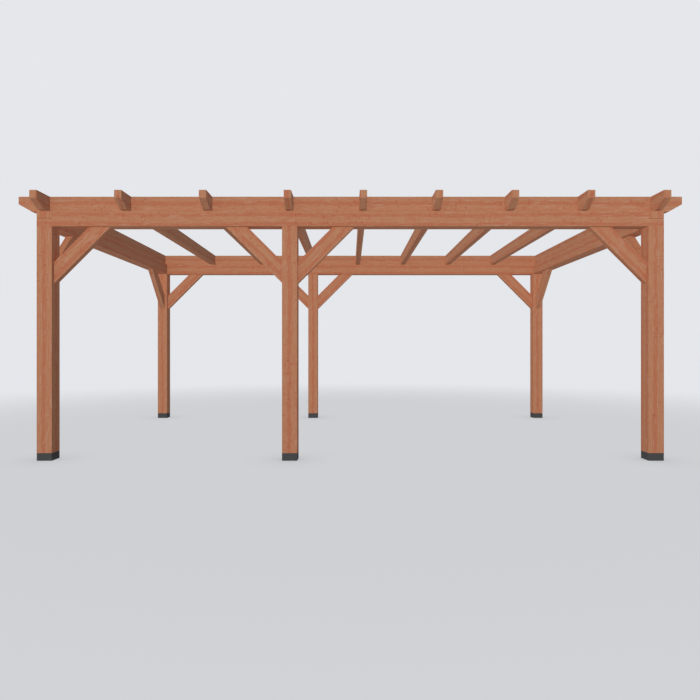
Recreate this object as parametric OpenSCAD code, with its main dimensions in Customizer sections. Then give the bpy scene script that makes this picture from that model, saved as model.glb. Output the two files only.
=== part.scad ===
// Open timber pergola: six posts on feet, a ring of half-lapped beams, rafters with
// cut tails, blocking between the rafters and 45 degree knee braces.
// Millimetres. X runs along the long side, Y from front to rear, Z up.
// The origin is on the ground, in the middle of the plan.

/* [Plan] */
// Centre distance of the left and middle posts
left_bay = 2405; // [1800:5:3600]
// Centre distance of the middle and right posts
right_bay = 3595; // [2400:5:4800]
// Centre distance of the front and rear posts
depth = 3500; // [2400:50:4800]
// Height of the ring beams' underside above the ground
headroom = 2300; // [2000:10:2800]

/* [Posts] */
// Side of the square posts
post_w = 150; // [120:5:200]
// Height of the foot under each post
foot_h = 75; // [40:5:150]

/* [Ring beams] */
// Width of the ring beams
ring_w = 150; // [120:5:200]
// Height of the ring beams
ring_h = 150; // [120:5:240]
// Length of the half-lapped splice over each middle post
splice_l = 150; // [100:5:300]

/* [Rafters] */
// Width of the rafters
rafter_w = 70; // [45:5:100]
// Height of the rafters, the blocking and the stubs
rafter_h = 150; // [120:5:240]
// Spaces between the rafters over the left bay
left_spaces = 3; // [2:1:5]
// Spaces between the rafters over the right bay
right_spaces = 5; // [3:1:7]
// Reach of the rafter tails and stubs beyond the ring's outer faces
overhang = 200; // [150:5:400]
// Height of the sloped cut under a tail
tail_rise = 75; // [40:5:100]
// Slope of the cut under a tail, in degrees
tail_slope = 30; // [30:1:60]

/* [Blocking] */
// Width of the blocking and of the stubs at its ends
blocking_w = 70; // [45:5:100]

/* [Braces] */
// Thickness of the braces
brace_t = 70; // [45:5:100]
// Width of the braces across their slope
brace_w = 150; // [80:5:200]
// Distance from the corner to a brace's centre line, along the post and along the beam
brace_leg = 450; // [300:10:700]

/* [Edges and fits] */
// Width of the eased long edges of every timber
arris = 2; // [1:0.5:6]
// Gap at the end of a timber that is fitted against the side of another
fit_gap = 0.5; // [0.2:0.1:0.9]

/* [Hidden] */
// Overrun of a cutting shape beyond the face that it opens
past = 1;

// Grid lines through the centres of the posts
rows = ["front", "rear"];
row_y = [-depth / 2, depth / 2];
places = ["left", "middle", "right"];
post_x = [-(left_bay + right_bay) / 2, (left_bay - right_bay) / 2, (left_bay + right_bay) / 2];
sides = ["left", "right"];
side_x = [post_x[0], post_x[2]];

// Level of the rafters' seat on the ring
seat_z = headroom + ring_h;

// Centre lines of the rafters, one over each side beam and one over the middle posts
rafter_x = concat(
    [for (i = [0 : left_spaces - 1]) post_x[0] + i * left_bay / left_spaces],
    [for (i = [0 : right_spaces]) post_x[1] + i * right_bay / right_spaces]
);
rafter_count = len(rafter_x);

// Half length of a rafter, length of a stub and run of the sloped cut under a tail
rafter_reach = depth / 2 + ring_w / 2 + overhang;
stub_l = ring_w / 2 + overhang - rafter_w / 2 - fit_gap;
tail_run = tail_rise / tan(tail_slope);

// Braces in the long rows: name, post and heading along X
row_braces = [["left", 0, 1], ["middle_left", 1, -1], ["middle_right", 1, 1], ["right", 2, -1]];
// Heading along Y of the braces in the sides, from the front row and from the rear row
inward = [1, -1];
// Heading along X of the stubs, left and right
outward = [-1, 1];
// Tilt of the braces, which have equal legs on post and beam
brace_tilt = 45;

timber = [0.69, 0.46, 0.35];
anthracite = [0.28, 0.28, 0.28];

// Cross-section of a planed timber with eased edges, centred in width and standing on its base
module section(w, h) {
    polygon([
        [arris - w / 2, 0], [w / 2 - arris, 0], [w / 2, arris], [w / 2, h - arris],
        [w / 2 - arris, h], [arris - w / 2, h], [-w / 2, h - arris], [-w / 2, arris]
    ]);
}

// Timber that runs along X from the origin
module beam(l, w, h) {
    rotate([90, 0, 90]) linear_extrude(l) section(w, h);
}

// Timber that stands on the origin
module upright(l, w) {
    linear_extrude(l) translate([0, -w / 2]) section(w, w);
}

// Space that the upper or lower half of a ring beam leaves for a lap, from x0 to x1
module lap_space(x0, x1, upper) {
    z0 = upper ? ring_h / 2 : -past;
    translate([x0, -ring_w / 2 - past, z0]) cube([x1 - x0, ring_w + 2 * past, ring_h / 2 + past]);
}

// Cast foot, flush with the post that stands on it
module foot(x, y) {
    color(anthracite) translate([x, y, 0]) upright(foot_h, post_w);
}

module post(x, y) {
    color(timber) translate([x, y, foot_h]) upright(headroom - foot_h, post_w);
}

// Left timber of a long row: its lower half runs out under the side beam and over the middle post
module ring_beam_row_left(y) {
    x0 = post_x[0] - ring_w / 2;
    l = post_x[1] + splice_l / 2 - x0;
    color(timber) translate([x0, y, headroom]) difference() {
        beam(l, ring_w, ring_h);
        lap_space(-past, ring_w + fit_gap, true);
        lap_space(l - splice_l - fit_gap, l + past, true);
    }
}

// Right timber of a long row: its upper half laps over the left timber on the middle post
module ring_beam_row_right(y) {
    x0 = post_x[1] - splice_l / 2;
    l = post_x[2] + ring_w / 2 - x0;
    color(timber) translate([x0, y, headroom]) difference() {
        beam(l, ring_w, ring_h);
        lap_space(-past, splice_l + fit_gap, false);
        lap_space(l - ring_w - fit_gap, l + past, true);
    }
}

// Side beam: its upper half laps over the long rows at both corners
module ring_beam_side(x) {
    l = depth + ring_w;
    color(timber) translate([x, -l / 2, headroom]) rotate([0, 0, 90]) difference() {
        beam(l, ring_w, ring_h);
        lap_space(-past, ring_w + fit_gap, false);
        lap_space(l - ring_w - fit_gap, l + past, false);
    }
}

// Rafter across both long rows, with a sloped cut under each tail
module rafter(x) {
    color(timber) translate([x, 0, seat_z]) intersection() {
        translate([0, -rafter_reach, 0]) rotate([0, 0, 90]) beam(2 * rafter_reach, rafter_w, rafter_h);
        rotate([90, 0, 90]) linear_extrude(rafter_w + 2 * past, center = true) polygon([
            [tail_run - rafter_reach, 0], [rafter_reach - tail_run, 0],
            [rafter_reach, tail_rise], [rafter_reach, rafter_h],
            [-rafter_reach, rafter_h], [-rafter_reach, tail_rise]
        ]);
    }
}

// Blocking that stands on a long row and fills the spaces between the rafters
module blocking(y) {
    inset = rafter_w / 2 + fit_gap;
    color(timber) for (i = [0 : rafter_count - 2]) {
        x0 = rafter_x[i] + inset;
        translate([x0, y, seat_z]) beam(rafter_x[i + 1] - inset - x0, blocking_w, rafter_h);
    }
}

// Turns what points along X to a heading in plan
module toward(x, y) {
    rotate([0, 0, atan2(y, x)]) children();
}

// Stub that carries the line of the blocking out past an end rafter, cut like a rafter's tail
module stub(x, y, heading) {
    color(timber) translate([x, y, seat_z]) toward(heading, 0) translate([rafter_w / 2 + fit_gap, 0, 0])
        intersection() {
            beam(stub_l, blocking_w, rafter_h);
            rotate([90, 0, 0]) linear_extrude(blocking_w + 2 * past, center = true) polygon([
                [0, 0], [stub_l - tail_run, 0], [stub_l, tail_rise], [stub_l, rafter_h], [0, rafter_h]
            ]);
        }
}

// Knee brace from the side of a post up to the underside of a ring beam
module brace(x, y, heading_x, heading_y) {
    outer = brace_leg + brace_w / 2 / cos(brace_tilt);
    color(timber) translate([x, y, headroom]) toward(heading_x, heading_y) translate([post_w / 2, 0, 0])
        intersection() {
            translate([0, 0, -brace_leg]) rotate([0, -brace_tilt, 0]) translate([-brace_w, 0, -brace_w / 2])
                beam(brace_leg / cos(brace_tilt) + 2 * brace_w, brace_t, brace_w);
            translate([0, -brace_t, -outer]) cube([outer, 2 * brace_t, outer]);
        }
}

for (r = [0, 1]) {
    for (p = [0 : 2]) {
        foot(post_x[p], row_y[r]);
        post(post_x[p], row_y[r]);
    }
    ring_beam_row_left(row_y[r]);
    ring_beam_row_right(row_y[r]);
    blocking(row_y[r]);
    stub(side_x[0], row_y[r], outward[0]);
    stub(side_x[1], row_y[r], outward[1]);
    for (b = row_braces) {
        brace(post_x[b[1]], row_y[r], b[2], 0);
    }
}
for (s = [0, 1]) {
    ring_beam_side(side_x[s]);
    for (r = [0, 1]) {
        brace(side_x[s], row_y[r], 0, inward[r]);
    }
}
for (i = [1 : rafter_count]) {
    rafter(rafter_x[i - 1]);
}
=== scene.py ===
import math
import random

import bmesh
import bpy
from mathutils import Euler, Matrix, Vector


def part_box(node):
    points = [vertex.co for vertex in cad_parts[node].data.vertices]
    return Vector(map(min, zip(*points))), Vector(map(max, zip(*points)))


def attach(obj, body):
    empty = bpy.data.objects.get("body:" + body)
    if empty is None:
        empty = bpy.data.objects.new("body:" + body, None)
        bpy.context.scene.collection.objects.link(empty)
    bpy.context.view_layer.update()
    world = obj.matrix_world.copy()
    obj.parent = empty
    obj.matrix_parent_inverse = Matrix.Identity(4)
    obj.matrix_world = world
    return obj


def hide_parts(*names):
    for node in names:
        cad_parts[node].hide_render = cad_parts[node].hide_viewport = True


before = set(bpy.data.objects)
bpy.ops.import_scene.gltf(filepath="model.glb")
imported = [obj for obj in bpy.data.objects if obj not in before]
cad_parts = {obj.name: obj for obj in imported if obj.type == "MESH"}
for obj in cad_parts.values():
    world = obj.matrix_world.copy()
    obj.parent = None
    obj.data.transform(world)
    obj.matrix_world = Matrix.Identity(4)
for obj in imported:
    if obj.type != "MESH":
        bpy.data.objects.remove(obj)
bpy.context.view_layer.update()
millimetre = 0.001
dice = random.Random(11)  # one seeded source for every timber's own log
print("frame loaded:", len(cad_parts), "nodes")


# sockets that take part in Python sums

class Socket:
    def __init__(self, bench, plug):
        self.bench = bench
        self.plug = plug

    def other(self, name):
        return Socket(self.bench, self.plug.node.outputs[name])

    def __add__(self, value):
        return self.bench.sum("ADD", self, value)

    def __radd__(self, value):
        return self.bench.sum("ADD", value, self)

    def __sub__(self, value):
        return self.bench.sum("SUBTRACT", self, value)

    def __rsub__(self, value):
        return self.bench.sum("SUBTRACT", value, self)

    def __mul__(self, value):
        return self.bench.sum("MULTIPLY", self, value)

    def __rmul__(self, value):
        return self.bench.sum("MULTIPLY", value, self)

    def __truediv__(self, value):
        return self.bench.sum("DIVIDE", self, value)

    def __rtruediv__(self, value):
        return self.bench.sum("DIVIDE", value, self)

    def __neg__(self):
        return self.bench.sum("MULTIPLY", self, -1.0)

    def __abs__(self):
        return self.bench.sum("ABSOLUTE", self)

    def __lt__(self, value):
        return self.bench.sum("LESS_THAN", self, value)

    def __gt__(self, value):
        return self.bench.sum("GREATER_THAN", self, value)


def paint(colour):  # a colour is a socket or three numbers
    return colour if isinstance(colour, Socket) else (*colour, 1.0)


class Bench:  # a node tree with short ways to fill it
    def __init__(self, tree):
        self.tree = tree

    def add(self, kind, settings=None, inputs=None, output=0):
        node = self.tree.nodes.new(kind)
        for name, value in (settings or {}).items():
            if name == "choices":
                self.addChoices(node.index_switch_items, value)
            else:
                setattr(node, name, value)
        for name, value in (inputs or {}).items():
            self.feed(node.inputs[name], value)
        return Socket(self, node.outputs[output]) if node.outputs else node

    def feed(self, plug, value):
        if isinstance(value, Socket):
            self.tree.links.new(value.plug, plug)
        else:
            plug.default_value = value

    def sum(self, operation, *values):
        return self.add("ShaderNodeMath", {"operation": operation}, dict(enumerate(values)))

    def addChoices(self, items, count):
        while len(items) < count:
            items.new()

    def vector(self, x, y, z):
        return self.add("ShaderNodeCombineXYZ", None, {0: x, 1: y, 2: z})

    def stretch(self, spot, scale):
        return self.add("ShaderNodeVectorMath", {"operation": "MULTIPLY"}, {0: spot, 1: scale})

    def noise(self, spot, detail=2.0, rough=0.5):
        return self.add("ShaderNodeTexNoise", None,
                        {"Vector": spot, "Scale": 1.0, "Detail": detail, "Roughness": rough})

    def fade(self, value, low, high):  # 0 at low, 1 at high, soft between
        return self.add("ShaderNodeMapRange", {"interpolation_type": "SMOOTHSTEP"},
                        {"Value": value, "From Min": low, "From Max": high})

    def blend(self, factor, first, second):
        return self.add("ShaderNodeMix", {"data_type": "RGBA"},
                        {"Factor": factor, 6: paint(first), 7: paint(second)}, output=2)

    def bump(self, strength, depth, height):
        return self.add("ShaderNodeBump", None,
                        {"Strength": strength, "Distance": depth, "Height": height})


def startFinish(name, roughness=0.6, specular=0.5):
    finish = bpy.data.materials.new(name)
    finish.use_nodes = True
    shader = finish.node_tree.nodes["Principled BSDF"]
    shader.inputs["Roughness"].default_value = roughness
    shader.inputs["Specular IOR Level"].default_value = specular
    return finish, shader, Bench(finish.node_tree)


# oiled timber: red and tan bands along the grain, rings on the cut ends

timberLook = {
    "red": (0.404, 0.1395, 0.0750),
    "tan": (0.426, 0.2120, 0.1205),
    "pale": (0.452, 0.2550, 0.1740),
    "knot": (0.354, 0.0990, 0.0535),
    "late": (0.330, 0.1120, 0.0590),    # latewood lines of the growth rings
    "gloss": 0.05,
    "logRun": 90.0,                     # metres of grain that the timbers are cut from
    "bandPitch": 0.098,
    "bandWander": 0.05,
    "ringPitch": 0.0105,
    "ringWander": 0.03,
    "seasonsPerMetre": 48.0,            # runs of darker and paler years on a cut end
    "seasonWander": 0.01,
    "knotsPerMetre": 1.7,
    "knotsPerRadian": 1.3,              # round the heart of the log
    "knotScatter": 0.95,
    "knotSwirl": 0.20,                  # reach of the rings that a knot pushes aside
    "knotPush": 0.010,                  # how far it pushes them
    "whorlsPerMetre": 3.2,              # pin knots stand in whorls
    "whorlPull": 0.50,
    "pinThinning": 0.3,                 # pin knots that a tan band loses
    "pinFringe": 0.25,
    "pinPale": 0.4,                     # paler ring between the pith and the rim
    "scale": {                          # cells per metre along, across and up
        "wander": (0.7, 7.0, 7.0),
        "patch": (11.0, 45.0, 45.0),
        "speck": (60.0, 100.0, 100.0),
        "fibre": (9.0, 380.0, 380.0),
        "pore": (16.0, 800.0, 800.0),
        "streak": (8.0, 75.0, 75.0),
        "dash": (20.0, 75.0, 75.0),
        "pin": (32.0, 18.0, 18.0),
    },
    "edge": {                           # where a mark starts and where it is full
        "knotDraw": (0.44, 0.46),
        "knot": (0.008, 0.032),
        "late": (-0.1, 1.0),
        "tanBand": (-0.8, 0.05),        # narrow red between broad tan
        "streak": (0.61, 0.71),
        "dash": (0.66, 0.76),
        "pore": (0.56, 0.70),
        "whorl": (0.53, 0.64),
        "pinDraw": (0.90, 0.96),
        "pith": (0.03, 0.10),
        "rim": (0.14, 0.26),
        "pin": (0.27, 0.33),
        "tone": (-0.33, 0.33),
    },
    "share": {                          # how strongly a mark shows
        "band": 0.26,
        "bandLevel": 0.6,               # of a band that leaves the tone as it is
        "season": 2.4,
        "patch": 0.42,
        "speck": 0.70,
        "fibre": 0.4,
        "endTan": 0.09,
        "streak": 0.6,
        "late": 0.07,
        "endLate": 0.16,
        "pore": 0.22,
        "dash": 0.3,
        "knot": 0.75,
    },
    "rough": {"all": 0.78, "fibre": 0.18, "knot": 0.12},
    "relief": {"fibre": 0.6, "late": 0.25, "dash": 0.3, "pore": 0.4, "knot": 0.4},
    "bump": (0.35, 1.2 * millimetre),   # strength and depth
}


def makeTimberFinish(look):
    finish, shader, bench = startFinish("oiledTimber", specular=look["gloss"])
    scale, edge, share, relief = (look[part] for part in ("scale", "edge", "share", "relief"))
    grain = bench.add("ShaderNodeAttribute", {"attribute_name": "grain"}, output="Vector")
    cutEnd = bench.add("ShaderNodeAttribute", {"attribute_name": "cutEnd"}, output="Fac")
    tanShare = bench.add("ShaderNodeAttribute", {"attribute_name": "tanShare"}, output="Fac")
    along = bench.add("ShaderNodeSeparateXYZ", None, {0: grain})
    across = along.other("Y")
    up = along.other("Z")

    def cloud(name, detail=1.0, rough=0.5):
        return bench.noise(bench.stretch(grain, scale[name]), detail, rough)

    def mark(name, value):
        return bench.fade(value, *edge[name])

    # branches leave the heart of the log, so a knot keeps its angle round it
    angle = bench.sum("ARCTAN2", up, across)
    branchSpot = bench.vector(along * look["knotsPerMetre"], angle * look["knotsPerRadian"], 0.0)
    branch = bench.add("ShaderNodeTexVoronoi", {"voronoi_dimensions": "2D"},
                       {"Vector": branchSpot, "Scale": 1.0, "Randomness": look["knotScatter"]},
                       output="Distance")
    chance = bench.add("ShaderNodeSeparateColor", None, {0: branch.other("Color")})
    present = mark("knotDraw", chance)
    knot = (1.0 - mark("knot", branch)) * present
    swirl = (1.0 - bench.fade(branch, 0.0, look["knotSwirl"])) * present

    # growth rings round the heart, pushed aside by the knots
    wander = cloud("wander") - 0.5
    heart = bench.sum("SQRT", across * across + up * up)
    bent = heart + wander * look["ringWander"] + swirl * look["knotPush"]
    late = mark("late", bench.sum("SINE", bent * (2.0 * math.pi / look["ringPitch"])))
    years = bench.vector((heart + wander * look["seasonWander"]) * look["seasonsPerMetre"], along, 0.0)
    season = (bench.noise(years, 1.0) - 0.5) * share["season"]

    # bands on the sides give way to the seasons on a cut end
    layer = across - up + wander * look["bandWander"]
    tanBand = mark("tanBand", bench.sum("COSINE", layer * (2.0 * math.pi / look["bandPitch"])))
    side = (tanBand - share["bandLevel"]) * share["band"]
    band = side + (season - side) * cutEnd

    # finer marks along the grain
    patch = cloud("patch") - 0.5
    speck = cloud("speck") - 0.5
    fibre = cloud("fibre", 2.0, 0.6)
    streak = mark("streak", cloud("streak", 0.5))
    dash = mark("dash", cloud("dash"))
    pore = mark("pore", cloud("pore")) * (1.0 - cutEnd)

    # pin knots with a dark pith and a dark rim
    rank = bench.noise(bench.vector(along * look["whorlsPerMetre"], 0.5, 0.5), 0.0)
    whorl = mark("whorl", rank)
    twig = bench.add("ShaderNodeTexVoronoi", None,
                     {"Vector": bench.stretch(grain, scale["pin"]), "Scale": 1.0, "Randomness": 1.0},
                     output="Distance")
    luck = bench.add("ShaderNodeSeparateColor", None, {0: twig.other("Color")})
    grown = mark("pinDraw", luck + whorl * look["whorlPull"]) * (1.0 - tanBand * look["pinThinning"])
    outline = twig + speck * look["pinFringe"]
    dark = bench.sum("MAXIMUM", 1.0 - mark("pith", twig), mark("rim", outline))
    body = 1.0 - look["pinPale"] + dark * look["pinPale"]
    pin = (1.0 - mark("pin", outline)) * body * grown

    mottle = patch * share["patch"] + speck * share["speck"] + (fibre - 0.5) * share["fibre"]
    tone = mark("tone", band + mottle + tanShare + cutEnd * share["endTan"])
    colour = bench.blend(tone, look["red"], look["tan"])
    colour = bench.blend(streak * (1.0 - cutEnd) * share["streak"], colour, look["pale"])
    colour = bench.blend(late * (share["late"] + cutEnd * share["endLate"]), colour, look["late"])
    colour = bench.blend(pore * share["pore"], colour, look["late"])
    colour = bench.blend(dash * share["dash"], colour, look["knot"])
    colour = bench.blend(bench.sum("MAXIMUM", knot, pin) * share["knot"], colour, look["knot"])
    bench.feed(shader.inputs["Base Color"], colour)

    rough = look["rough"]
    bench.feed(shader.inputs["Roughness"], rough["all"] + fibre * rough["fibre"] - knot * rough["knot"])
    raised = fibre * relief["fibre"] + late * relief["late"] + knot * relief["knot"]
    sunk = dash * relief["dash"] + pore * relief["pore"]
    bench.feed(shader.inputs["Normal"], bench.bump(*look["bump"], raised - sunk))
    return finish


# cast foot: dark stone mix with fine grit

footLook = {
    "body": (0.053, 0.054, 0.057),
    "grit": (0.096, 0.097, 0.100),
    "pit": (0.019, 0.019, 0.020),
    "gloss": 0.08,
    "cloudScale": (14.0, 14.0, 14.0),   # cells per metre
    "gritScale": (420.0, 420.0, 420.0),
    "pitScale": 160.0,
    "gritEdge": (0.58, 0.70),
    "pitEdge": (0.10, 0.22),
    "gritShare": 0.5,
    "cloudShare": 0.35,
    "pitShare": 0.8,
    "rough": (0.68, 0.2),               # everywhere, and more in the clouds
    "relief": {"grit": 0.5, "cloud": 0.4},
    "bump": (0.5, 0.8 * millimetre),    # strength and depth
    "ease": 1.2 * millimetre,           # width of the rounded edges
    "sharpAngle": 30.0,                 # degrees between the faces of an edge that is rounded
}


def makeFootFinish(look):
    finish, shader, bench = startFinish("castStone", specular=look["gloss"])
    spot = bench.add("ShaderNodeTexCoord", output="Object")
    cloud = bench.noise(bench.stretch(spot, look["cloudScale"]), 4.0, 0.6)
    grit = bench.fade(bench.noise(bench.stretch(spot, look["gritScale"]), 2.0), *look["gritEdge"])
    cell = bench.add("ShaderNodeTexVoronoi", None, {"Vector": spot, "Scale": look["pitScale"]},
                     output="Distance")
    pit = 1.0 - bench.fade(cell, *look["pitEdge"])
    grain = grit * look["gritShare"] + cloud * look["cloudShare"]
    colour = bench.blend(grain, look["body"], look["grit"])
    colour = bench.blend(pit * look["pitShare"], colour, look["pit"])
    bench.feed(shader.inputs["Base Color"], colour)
    base, more = look["rough"]
    bench.feed(shader.inputs["Roughness"], base + cloud * more)
    height = grit * look["relief"]["grit"] - pit + cloud * look["relief"]["cloud"]
    bench.feed(shader.inputs["Normal"], bench.bump(*look["bump"], height))
    return finish


# screws: brown coat, worn to the steel in places

screwCoat = {
    "coat": (0.13, 0.070, 0.045),
    "worn": (0.30, 0.21, 0.15),
    "wearScale": (600.0, 600.0, 600.0),   # cells per metre
    "wearEdge": (0.42, 0.68),
    "metal": (0.55, 0.35),                # on the coat, and more where it is worn
    "rough": (0.52, 0.16),                # on the coat, and less where it is worn
}


def makeScrewFinish(look):
    finish, shader, bench = startFinish("browncoatedSteel", specular=0.5)
    spot = bench.add("ShaderNodeTexCoord", output="Object")
    wear = bench.fade(bench.noise(bench.stretch(spot, look["wearScale"]), 2.0), *look["wearEdge"])
    metal, moreMetal = look["metal"]
    rough, lessRough = look["rough"]
    bench.feed(shader.inputs["Base Color"], bench.blend(wear, look["coat"], look["worn"]))
    bench.feed(shader.inputs["Metallic"], metal + wear * moreMetal)
    bench.feed(shader.inputs["Roughness"], rough - wear * lessRough)
    return finish


timberFinish = makeTimberFinish(timberLook)
footFinish = makeFootFinish(footLook)
screwFinish = makeScrewFinish(screwCoat)
print("finishes mixed")


# every timber is one swept section with its ends cut by the same tree

timberCuts = {
    "ease": 1.5 * millimetre,           # radius of the long edges
    "endEase": 1.0 * millimetre,
    "flatFace": 0.006,                  # square metres above which a planed face is shaded flat
    "endFacing": 0.45,                  # a cut end looks along the timber by more than this
    "tailRise": 75.0 * millimetre,
    "tailSlope": 30.0,                  # degrees
    "braceWidth": 150.0 * millimetre,
    "braceTilt": 45.0,                  # degrees
    "lapPlay": 1.7 * millimetre,        # shadow line left in the corner laps
    "splicePlay": 0.1 * millimetre,
    "fitGap": 0.5 * millimetre,
}


def openTree(name, numbers, geometry=False):
    tree = bpy.data.node_groups.new(name, "GeometryNodeTree")
    if geometry:
        tree.interface.new_socket("Points", in_out="INPUT", socket_type="NodeSocketGeometry")
    for number in numbers:
        tree.interface.new_socket(number, in_out="INPUT", socket_type="NodeSocketFloat")
    tree.interface.new_socket("Geometry", in_out="OUTPUT", socket_type="NodeSocketGeometry")
    bench = Bench(tree)
    given = bench.add("NodeGroupInput")
    return tree, bench, given


def closeTree(bench, shape, finish):
    whole = bench.add("GeometryNodeRealizeInstances", None, {"Geometry": shape})
    painted = bench.add("GeometryNodeSetMaterial", None, {"Geometry": whole, "Material": finish})
    bench.add("NodeGroupOutput", None, {0: painted})


def makeTimberTree(finish):
    sizes = ["Length", "Width", "Height", "Ease", "End Ease"]
    for end in ("Start", "End"):
        sizes += [f"{end} {cut}" for cut in ("Rise", "Run", "Mitre", "Half", "Lap", "Play")]
    tree, bench, given = openTree("timberTree", sizes)
    length = given.other("Length")
    height = given.other("Height")
    endEase = given.other("End Ease")
    stations = 6
    middleStation = (stations - 1) * 0.5

    # rail: an end, its eased ring and the foot of its cut, then the same again from the far end
    def cutReach(end):
        slant = abs(given.other(f"{end} Mitre")) * height * 0.6  # a little more than half the height
        return bench.sum("MAXIMUM", given.other(f"{end} Run"), slant) + endEase * 2.0

    index = bench.add("GeometryNodeInputIndex")
    place = bench.add("GeometryNodeIndexSwitch", {"data_type": "FLOAT", "choices": stations}, {
        0: index, 1: 0.0, 2: endEase, 3: cutReach("Start"),
        4: length - cutReach("End"), 5: length - endEase, 6: length})
    line = bench.add("GeometryNodeMeshLine", None, {"Count": stations})
    placed = bench.add("GeometryNodeSetPosition", None,
                       {"Geometry": line, "Position": bench.vector(place, 0.0, 0.0)})
    rail = bench.add("GeometryNodeMeshToCurve", None, {"Mesh": placed})

    outline = bench.add("GeometryNodeCurvePrimitiveQuadrilateral", None,
                        {"Width": given.other("Width"), "Height": height})
    eased = bench.add("GeometryNodeFilletCurve", {"mode": "POLY"},
                      {"Curve": outline, "Radius": given.other("Ease"), "Count": 3})
    atEnd = abs(index - middleStation) > middleStation - 0.5
    shrink = 1.0 - atEnd * endEase * 2.0 / height
    sweep = bench.add("GeometryNodeCurveToMesh", None,
                      {"Curve": rail, "Profile Curve": eased, "Scale": shrink, "Fill Caps": True})

    # the lower edge rises to a tail, and a mitred end leans with the height over the middle
    spot = bench.add("GeometryNodeInputPosition")
    x = bench.add("ShaderNodeSeparateXYZ", None, {0: spot})
    z = x.other("Z")
    nearEnd = endEase * 1.5

    def tailLift(end, away):
        run = bench.sum("MAXIMUM", given.other(f"{end} Run"), 1e-6)  # a square end has no run
        return bench.sum("MAXIMUM", 1.0 - away / run, 0.0) * given.other(f"{end} Rise")

    lift = (z < 0.0) * (tailLift("Start", x) + tailLift("End", length - x))
    lean = (x < nearEnd) * given.other("Start Mitre") * z
    farLean = (x > length - nearEnd) * given.other("End Mitre") * z
    cut = bench.add("GeometryNodeSetPosition", None,
                    {"Geometry": sweep, "Offset": bench.vector(lean + farLean, 0.0, lift)})

    # half laps: the upper half is taken off where a Half is 1, the lower where it is -1
    def halve(shape, end):
        half, lap, play = (given.other(f"{end} {word}") for word in ("Half", "Lap", "Play"))
        past = 0.01  # the cutter runs out of the timber by half of this or more
        size = bench.vector(lap + past, given.other("Width") + past, height * 0.5 + play + past)
        cutter = bench.add("GeometryNodeMeshCube", None, {"Size": size})
        middle = (lap - past) * 0.5
        seat = bench.vector(length - middle if end == "End" else middle, 0.0,
                            half * (height * 0.25 - play * 0.5 + past * 0.5))
        cutter = bench.add("GeometryNodeTransform", None, {"Geometry": cutter, "Translation": seat})
        halved = bench.add("GeometryNodeMeshBoolean", {"operation": "DIFFERENCE", "solver": "EXACT"},
                           {"Mesh 1": shape, "Mesh 2": cutter})
        return bench.add("GeometryNodeSwitch", {"input_type": "GEOMETRY"},
                         {"Switch": lap > 0.0, "False": shape, "True": halved})

    cut = halve(halve(cut, "Start"), "End")
    broad = bench.add("GeometryNodeInputMeshFaceArea") > timberCuts["flatFace"]
    shaded = bench.add("GeometryNodeSetShadeSmooth", None,
                       {"Geometry": cut, "Selection": broad, "Shade Smooth": False})
    closeTree(bench, shaded, finish)
    return tree


def stand(name, data):  # a new object in the scene
    thing = bpy.data.objects.new(name, data)
    bpy.context.scene.collection.objects.link(thing)
    return thing


def bakeTree(tree, sizes, points=None):
    host = stand("host", points or bpy.data.meshes.new("host"))
    modifier = host.modifiers.new("shape", "NODES")
    modifier.node_group = tree
    for item in tree.interface.items_tree:
        if item.in_out == "INPUT" and item.socket_type == "NodeSocketFloat":
            modifier[item.identifier] = float(sizes.get(item.name, 0.0))
    graph = bpy.context.evaluated_depsgraph_get()
    mesh = bpy.data.meshes.new_from_object(host.evaluated_get(graph))
    bpy.data.objects.remove(host)
    return mesh


timberTree = makeTimberTree(timberFinish)


def pickLog(sawn, across, up):  # sawn so that a tan band runs through this spot of the timber
    along = dice.uniform(0.0, timberLook["logRun"])
    aside = dice.choice((-1.0, 1.0)) * dice.uniform(*sawn["heartAside"])
    above = dice.uniform(*sawn["heartUp"])
    slip = math.remainder(aside + across - above - up, timberLook["bandPitch"])
    return Vector((along, aside - slip, above))


def cutTimber(length, width, height, place, log, tanShare=0.0, cuts=None):
    sizes = {"Length": length, "Width": width, "Height": height,
             "Ease": timberCuts["ease"], "End Ease": timberCuts["endEase"], **(cuts or {})}
    mesh = bakeTree(timberTree, sizes)
    grain = mesh.attributes.new("grain", "FLOAT_VECTOR", "POINT")  # the timber's place in its own log
    for vertex, value in zip(mesh.vertices, grain.data):
        value.vector = vertex.co + log
    cutEnd = mesh.attributes.new("cutEnd", "FLOAT", "FACE")
    ownTone = mesh.attributes.new("tanShare", "FLOAT", "FACE")
    for face, endValue, toneValue in zip(mesh.polygons, cutEnd.data, ownTone.data):
        endValue.value = 1.0 if abs(face.normal.x) > timberCuts["endFacing"] else 0.0
        toneValue.value = tanShare
    mesh.transform(place)
    return mesh


def joinMeshes(meshes, name):
    work = bmesh.new()
    for mesh in meshes:
        work.from_mesh(mesh)
    joined = bpy.data.meshes.new(name)
    work.to_mesh(joined)
    work.free()
    joined.materials.append(timberFinish)
    return joined


def settle(name, mesh, node):  # a finished piece that stands for a solid of the frame
    mesh.name = name
    piece = stand(name, mesh)
    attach(piece, "root")
    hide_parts(node)


def settleTimber(node, mesh):
    settle(node + "_timber", mesh, node)


def middleOf(low, high):
    return (low + high) * 0.5


def laid(spot, heading):  # turns the own X of a level timber to a heading in plan
    return Matrix.Translation(spot) @ Matrix.Rotation(math.radians(heading), 4, "Z")


# posts

postSawn = {
    "heartAside": (0.02, 0.09),         # metres from the timber's middle to the log's heart
    "heartUp": (-0.08, 0.08),
    "tanLine": 0.044,                   # from the timber's middle to the middle of a tan band
}


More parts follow.
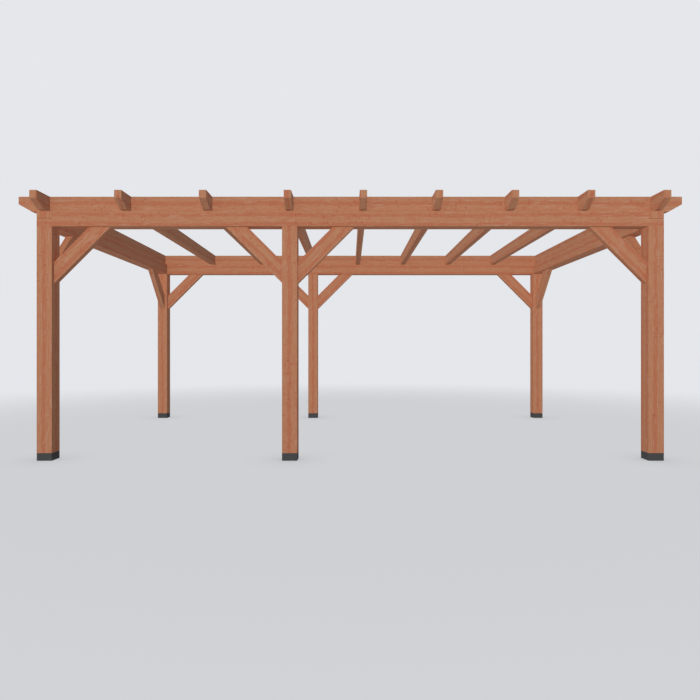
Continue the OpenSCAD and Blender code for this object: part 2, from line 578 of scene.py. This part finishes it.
def makePost(node):
    low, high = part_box(node)
    centre = middleOf(low, high)
    upright = Matrix((                  # the timber's own X, Y and Z become Z, X and Y
        (0, 1, 0, centre.x), (0, 0, 1, centre.y), (1, 0, 0, low.z), (0, 0, 0, 1)))
    log = pickLog(postSawn, postSawn["tanLine"], low.y - centre.y)
    settleTimber(node, cutTimber(high.z - low.z, high.x - low.x, high.y - low.y, upright, log))


rows = ("front", "rear")
places = ("left", "middle", "right")
for row in rows:
    for spot in places:
        makePost(f"post_{row}_{spot}")
print("posts stand")


# ring beams, half-lapped at the corners and over the middle posts

ringSawn = {
    "heartAside": (0.26, 0.36),
    "heartUp": (-0.05, 0.05),
    "tanLine": -0.009,
    "sideLine": {"left": 0.022, "right": 0.0},   # the same across the side beams
}


def lapCut(end, half, lap, play):
    return {f"{end} Half": half, f"{end} Lap": lap, f"{end} Play": play}


def makeRingBeam(node, along, log, start, end):  # an end gives its half, the lap's length and its play
    low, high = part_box(node)
    across = 1 - along
    spot = middleOf(low, high)
    spot[along] = low[along]
    laps = {**lapCut("Start", *start), **lapCut("End", *end)}
    settleTimber(node, cutTimber(
        high[along] - low[along], high[across] - low[across], high.z - low.z,
        laid(spot, 90.0 * along), log, cuts=laps))


gap = timberCuts["fitGap"]
for row in rows:
    leftLow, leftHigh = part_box(f"ring_beam_{row}_left")
    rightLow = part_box(f"ring_beam_{row}_right")[0]
    corner = (leftHigh.y - leftLow.y + gap, timberCuts["lapPlay"])
    splice = (leftHigh.x - rightLow.x + gap, timberCuts["splicePlay"])
    log = pickLog(ringSawn, (leftLow.y - leftHigh.y) * 0.5, ringSawn["tanLine"])
    onward = Vector((rightLow.x - leftLow.x, 0.0, 0.0))  # both timbers of a row come from one log
    makeRingBeam(f"ring_beam_{row}_left", 0, log, (1, *corner), (1, *splice))
    makeRingBeam(f"ring_beam_{row}_right", 0, log + onward, (-1, *splice), (1, *corner))
for side, line in ringSawn["sideLine"].items():
    log = pickLog(ringSawn, line, ringSawn["tanLine"])
    makeRingBeam(f"ring_beam_{side}", 1, log, (-1, *corner), (-1, *corner))
print("ring beams lapped")


# rafters, blocking between them and stubs at the ends, with slope-cut tails

plankSawn = {
    "heartAside": (0.26, 0.40),
    "heartUp": (-0.05, 0.05),
    "tanLine": 0.001,
    "tanShare": 0.10,                   # tanner than the ring
}
blockSawn = {
    "heartAside": (0.26, 0.40),
    "heartUp": (-0.05, 0.05),
    "tanLine": -0.040,
    "tanShare": 0.03,
}
rafters = sorted(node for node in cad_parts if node.startswith("rafter_"))
tailRun = timberCuts["tailRise"] / math.tan(math.radians(timberCuts["tailSlope"]))
startTail = {"Start Rise": timberCuts["tailRise"], "Start Run": tailRun}
endTail = {"End Rise": timberCuts["tailRise"], "End Run": tailRun}


def makeRafter(node):
    low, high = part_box(node)
    centre = middleOf(low, high)
    log = pickLog(plankSawn, high.x - centre.x, plankSawn["tanLine"])
    settleTimber(node, cutTimber(
        high.y - low.y, high.x - low.x, high.z - low.z, laid((centre.x, low.y, centre.z), 90.0),
        log, plankSawn["tanShare"], {**startTail, **endTail}))


def makeBlocking(node):
    low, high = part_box(node)
    centre = middleOf(low, high)
    blocks = []
    log = pickLog(blockSawn, low.y - centre.y, blockSawn["tanLine"])
    for left, right in zip(rafters, rafters[1:]):
        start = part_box(left)[1].x + gap
        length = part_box(right)[0].x - gap - start
        place = Matrix.Translation((start, centre.y, centre.z))
        onward = Vector((start, 0.0, 0.0))  # one plank, cut where the rafters pass
        blocks.append(cutTimber(
            length, high.y - low.y, high.z - low.z, place, log + onward, blockSawn["tanShare"]))
    settleTimber(node, joinMeshes(blocks, node))


def makeStub(node, heading):
    low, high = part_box(node)
    centre = middleOf(low, high)
    start = low.x if heading == 0.0 else high.x
    front = (low.y - centre.y) * math.cos(math.radians(heading))
    log = pickLog(blockSawn, front, blockSawn["tanLine"])
    settleTimber(node, cutTimber(
        high.x - low.x, high.y - low.y, high.z - low.z, laid((start, centre.y, centre.z), heading),
        log, blockSawn["tanShare"], endTail))


for node in rafters:
    makeRafter(node)
for row in rows:
    makeBlocking(f"blocking_{row}")
    makeStub(f"stub_{row}_left", 180.0)
    makeStub(f"stub_{row}_right", 0.0)
print("rafters, blocking and stubs laid")


# knee braces between posts and ring

braceSawn = {
    "heartAside": (0.26, 0.40),
    "heartUp": (-0.05, 0.05),
    "tanLine": 0.010,
    "sideShare": 0.12,                  # braces of the two sides are tanner
}
braceHeadings = {
    "front_left": 0.0, "front_middle_left": 180.0, "front_middle_right": 0.0, "front_right": 180.0,
    "rear_left": 0.0, "rear_middle_left": 180.0, "rear_middle_right": 0.0, "rear_right": 180.0,
    "left_front": 90.0, "left_rear": 270.0, "right_front": 90.0, "right_rear": 270.0,
}
braceTilt = math.radians(timberCuts["braceTilt"])
braceMitres = {"Start Mitre": 1.0, "End Mitre": -1.0}


def bracePlace(node, heading):  # the own X runs up the brace from the middle of its lower end
    low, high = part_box(node)
    centre = middleOf(low, high)
    legReach = high.z - low.z
    leg = legReach - timberCuts["braceWidth"] * 0.5 / math.cos(braceTilt)
    way = Vector((math.cos(math.radians(heading)), math.sin(math.radians(heading)), 0.0))
    foot = Vector((centre.x, centre.y, high.z - leg)) - way * (legReach * 0.5)
    return laid(foot, heading) @ Matrix.Rotation(-braceTilt, 4, "Y"), leg / math.cos(braceTilt)


def makeBrace(node, heading):
    low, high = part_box(node)
    place, length = bracePlace(node, heading)
    width = timberCuts["braceWidth"]
    thickness = min(high.x - low.x, high.y - low.y)
    front = thickness * -0.5 * math.cos(math.radians(heading))
    above = width * 0.5 * abs(math.sin(math.radians(heading)))  # side braces show their tops
    log = pickLog(braceSawn, front, above + braceSawn["tanLine"])
    tanShare = braceSawn["sideShare"] if heading in (90.0, 270.0) else 0.0
    settleTimber(node, cutTimber(length, thickness, width, place, log, tanShare, braceMitres))


for name, heading in braceHeadings.items():
    makeBrace("brace_" + name, heading)
print("braces fitted")


# cast feet under the posts

def makeFoot(node, look):
    work = bmesh.new()
    work.from_mesh(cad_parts[node].data)
    bmesh.ops.remove_doubles(work, verts=work.verts, dist=0.01 * millimetre)
    bmesh.ops.dissolve_limit(work, angle_limit=math.radians(1.0), verts=work.verts, edges=work.edges)
    sharp = [edge for edge in work.edges
             if edge.calc_face_angle(0.0) > math.radians(look["sharpAngle"])]
    bmesh.ops.bevel(work, geom=sharp, offset=look["ease"], segments=2, profile=0.5, affect="EDGES",
                    clamp_overlap=True)
    mesh = bpy.data.meshes.new(node)
    work.to_mesh(mesh)
    work.free()
    mesh.materials.clear()
    mesh.materials.append(footFinish)
    settle(node + "_cast", mesh, node)


for row in rows:
    for spot in places:
        makeFoot(f"foot_{row}_{spot}", footLook)
print("feet cast")


# screw heads where the timbers are fixed to each other

screwLook = {
    "radius": 6.5 * millimetre,
    "height": 1.6 * millimetre,
    "topShare": 0.86,                   # the top's share of the radius
    "socket": 0.46,                     # the socket's
    "socketDepth": 1.2 * millimetre,
    "lobes": 6,                         # of the socket
    "lobeDepth": 0.16,                  # share of the socket's size
    "sides": 18,                        # three for each lobe
    "spread": (12, 35),                 # millimetres from a crossing's middle to its two screws
    "lapSpread": 55,                    # the same at a corner or a splice of the ring
    "blockInset": 90,                   # from the end of a blocking piece
    "stubReach": 110,                   # from an end rafter's middle to the screw of its stub
    "sidePitch": 640,                   # along the rafters that lie on the side beams
    "sideSteps": (-2, -1, 0, 1, 2),
    "braceSpread": 16,
}


def makeScrewTree(finish, look):
    sizes = ["Radius", "Height", "Socket", "Socket Depth"]
    tree, bench, given = openTree("screwTree", sizes, geometry=True)
    radius = given.other("Radius")
    head = bench.add("GeometryNodeMeshCone", None, {
        "Vertices": look["sides"], "Radius Bottom": radius, "Radius Top": radius * look["topShare"],
        "Depth": given.other("Height")})
    rim = bench.add("GeometryNodeExtrudeMesh", {"mode": "FACES"},
                    {"Mesh": head, "Selection": head.other("Top"), "Offset Scale": 0.0})
    inner = rim.other("Top")
    spot = bench.add("GeometryNodeInputPosition")
    x = bench.add("ShaderNodeSeparateXYZ", None, {0: spot})
    y = x.other("Y")
    wave = bench.sum("COSINE", bench.sum("ARCTAN2", y, x) * look["lobes"])
    lobe = given.other("Socket") / look["topShare"] * (1.0 + look["lobeDepth"] * wave)
    shaped = bench.add("GeometryNodeSetPosition", None, {
        "Geometry": rim, "Selection": inner, "Position": bench.vector(x * lobe, y * lobe, x.other("Z"))})
    sunk = bench.add("GeometryNodeExtrudeMesh", {"mode": "FACES"}, {
        "Mesh": shaped, "Selection": inner, "Offset Scale": -given.other("Socket Depth")})
    way = bench.add("GeometryNodeInputNamedAttribute", {"data_type": "FLOAT_VECTOR"}, {"Name": "facing"})
    turn = bench.add("FunctionNodeAlignRotationToVector", {"axis": "Z"}, {"Vector": way})
    heads = bench.add("GeometryNodeInstanceOnPoints", None,
                      {"Points": given.other("Points"), "Instance": sunk, "Rotation": turn})
    closeTree(bench, heads, finish)
    return tree


def listScrews(look):
    skyward = Vector((0.0, 0.0, 1.0))
    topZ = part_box(rafters[0])[1].z
    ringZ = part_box("ring_beam_left")[1].z
    posts = [middleOf(*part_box(f"post_{row}_{spot}")) for row in rows for spot in places]
    rowY = sorted({post.y for post in posts})
    rafterX = [middleOf(*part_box(node)).x for node in rafters]
    blockInset = look["blockInset"] * millimetre
    stubReach = look["stubReach"] * millimetre
    spots = []

    def drive(x, y, z):
        spots.append((Vector((x, y, z)), skyward))

    def drivePair(x, y, z, aside, onward):
        drive(x - aside * millimetre, y - onward * millimetre, z)
        drive(x + aside * millimetre, y + onward * millimetre, z)

    for y in rowY:
        for x in rafterX:
            drivePair(x, y, topZ, *look["spread"])
        for left, right in zip(rafters, rafters[1:]):
            drive(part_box(left)[1].x + blockInset, y, topZ)
            drive(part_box(right)[0].x - blockInset, y, topZ)
        for x in (rafterX[0] - stubReach, rafterX[-1] + stubReach):
            drive(x, y, topZ)
    for post in posts:
        drivePair(post.x, post.y, ringZ, look["lapSpread"], look["lapSpread"])
    for x in (rafterX[0], rafterX[-1]):
        for step in look["sideSteps"]:
            drive(x, step * look["sidePitch"] * millimetre, topZ)
    for name, heading in braceHeadings.items():
        place, length = bracePlace("brace_" + name, heading)
        under = (place.to_3x3() @ Vector((0.0, 0.0, -1.0))).normalized()
        for x in (0.0, length):
            for side in (-1, 1):
                y = side * look["braceSpread"] * millimetre
                spots.append((place @ Vector((x, y, -timberCuts["braceWidth"] * 0.5)), under))
    return spots


def makeScrews(look):
    spots = listScrews(look)
    points = bpy.data.meshes.new("screwSpots")
    points.from_pydata([tuple(spot) for spot, way in spots], [], [])
    facing = points.attributes.new("facing", "FLOAT_VECTOR", "POINT")
    for value, (spot, way) in zip(facing.data, spots):
        value.vector = way
    tree = makeScrewTree(screwFinish, look)
    sizes = {"Radius": look["radius"], "Height": look["height"], "Socket": look["socket"],
             "Socket Depth": look["socketDepth"]}
    screws = stand("timberScrews", bakeTree(tree, sizes, points))
    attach(screws, "root")
    print("screws driven:", len(spots))


makeScrews(screwLook)


# pale floor, soft daylight and the camera

studio = {
    "backdrop": (0.783, 0.799, 0.831),
    "fill": (0.190, 0.222, 0.259),
    "floorGlow": (0.187, 0.206, 0.224),     # what the floor throws back on the timber
    "floorNearPaintedShade": (0.432, 0.453, 0.480),     # what it looks like near the middle: darker, a painted shade pool under the frame
    "floorFar": (0.594, 0.615, 0.653),
    "floorBody": (0.180, 0.180, 0.180),
    "floorFade": (4.0, 12.0),               # metres from the middle, over which the painted shade pool fades into the far floor
    "floorRadius": 150.0,
    "paintedContactShadow": (0.45, 0.5),                 # reach in metres and depth of the painted contact shadow round the feet
    "keyPower": (1.60, 2.14, 0.64),         # along +X, along +Y and down
    "keyTint": (1.0, 0.93, 0.86),
    "backPower": (-0.24, -2.3, 2.0),
    "backTint": (1.0, 0.93, 0.86),
    "bouncePower": (0.0, -0.08, -0.42),     # from below, even in the corners
    "bounceTint": (1.0, 0.96, 0.91),
    "sunAngle": 30.0,                       # degrees
    "eye": (-0.0028, -7.377, 1.086),
    "lens": 29.13,                          # millimetres, as the sensor
    "sensor": 36.0,
    "sight": 500.0,                         # metres that the camera sees
}


def makeFloor(look):
    work = bmesh.new()
    bmesh.ops.create_circle(work, cap_ends=True, segments=64, radius=look["floorRadius"])
    mesh = bpy.data.meshes.new("floor")
    work.to_mesh(mesh)
    work.free()
    finish, shader, bench = startFinish("paleFloor", roughness=0.9, specular=0.0)  # a lit panel
    spot = bench.add("ShaderNodeTexCoord", output="Object")
    away = bench.add("ShaderNodeVectorMath", {"operation": "LENGTH"}, {0: spot}, output="Value")
    # the floor's glow is darker near the middle: a painted shade pool under the frame, fading outward to
    # the brightness of the backdrop
    far = bench.fade(away, *look["floorFade"])
    seen = bench.add("ShaderNodeLightPath", output="Is Camera Ray")
    near = bench.blend(seen, look["floorGlow"], look["floorNearPaintedShade"])
    glow = bench.blend(far, near, look["floorFar"])
    reach, depth = look["paintedContactShadow"]
    # painted contact shadow: ambient occlusion darkens the floor's glow round the feet
    clear = bench.add("ShaderNodeAmbientOcclusion", {"samples": 4}, {"Distance": reach}, output="AO")
    glow = bench.blend((1.0 - clear) * depth, glow, (0.0, 0.0, 0.0))
    bench.feed(shader.inputs["Emission Color"], glow)
    shader.inputs["Emission Strength"].default_value = 1.0
    shader.inputs["Base Color"].default_value = paint(look["floorBody"])
    mesh.materials.append(finish)
    stand("floor", mesh)


def makeSky(look):
    world = bpy.data.worlds.new("sky")
    world.use_nodes = True
    bpy.context.scene.world = world
    bench = Bench(world.node_tree)
    seen = bench.add("ShaderNodeLightPath", output="Is Camera Ray")
    colour = bench.blend(seen, look["fill"], look["backdrop"])
    bench.feed(world.node_tree.nodes["Background"].inputs["Color"], colour)


def makeSun(name, look):
    x, y, down = look[f"{name}Power"]
    way = Vector((x, y, -down))
    data = bpy.data.lights.new(name, "SUN")
    data.energy = way.length
    data.color = look[f"{name}Tint"]
    data.angle = math.radians(look["sunAngle"])
    data.use_shadow = False
    stand(name, data).rotation_euler = way.to_track_quat("-Z", "Y").to_euler()


def makeCamera(look):
    data = bpy.data.cameras.new("eye")
    data.lens = look["lens"]
    data.sensor_width = look["sensor"]
    data.clip_end = look["sight"]
    camera = stand("eye", data)
    camera.location = look["eye"]
    camera.rotation_euler = Euler((math.radians(90.0), 0.0, 0.0))  # level
    bpy.context.scene.camera = camera


makeFloor(studio)
makeSky(studio)
for name in ("key", "back", "bounce"):
    makeSun(name, studio)
makeCamera(studio)
bpy.context.scene.view_settings.view_transform = "Standard"
print("studio lit")
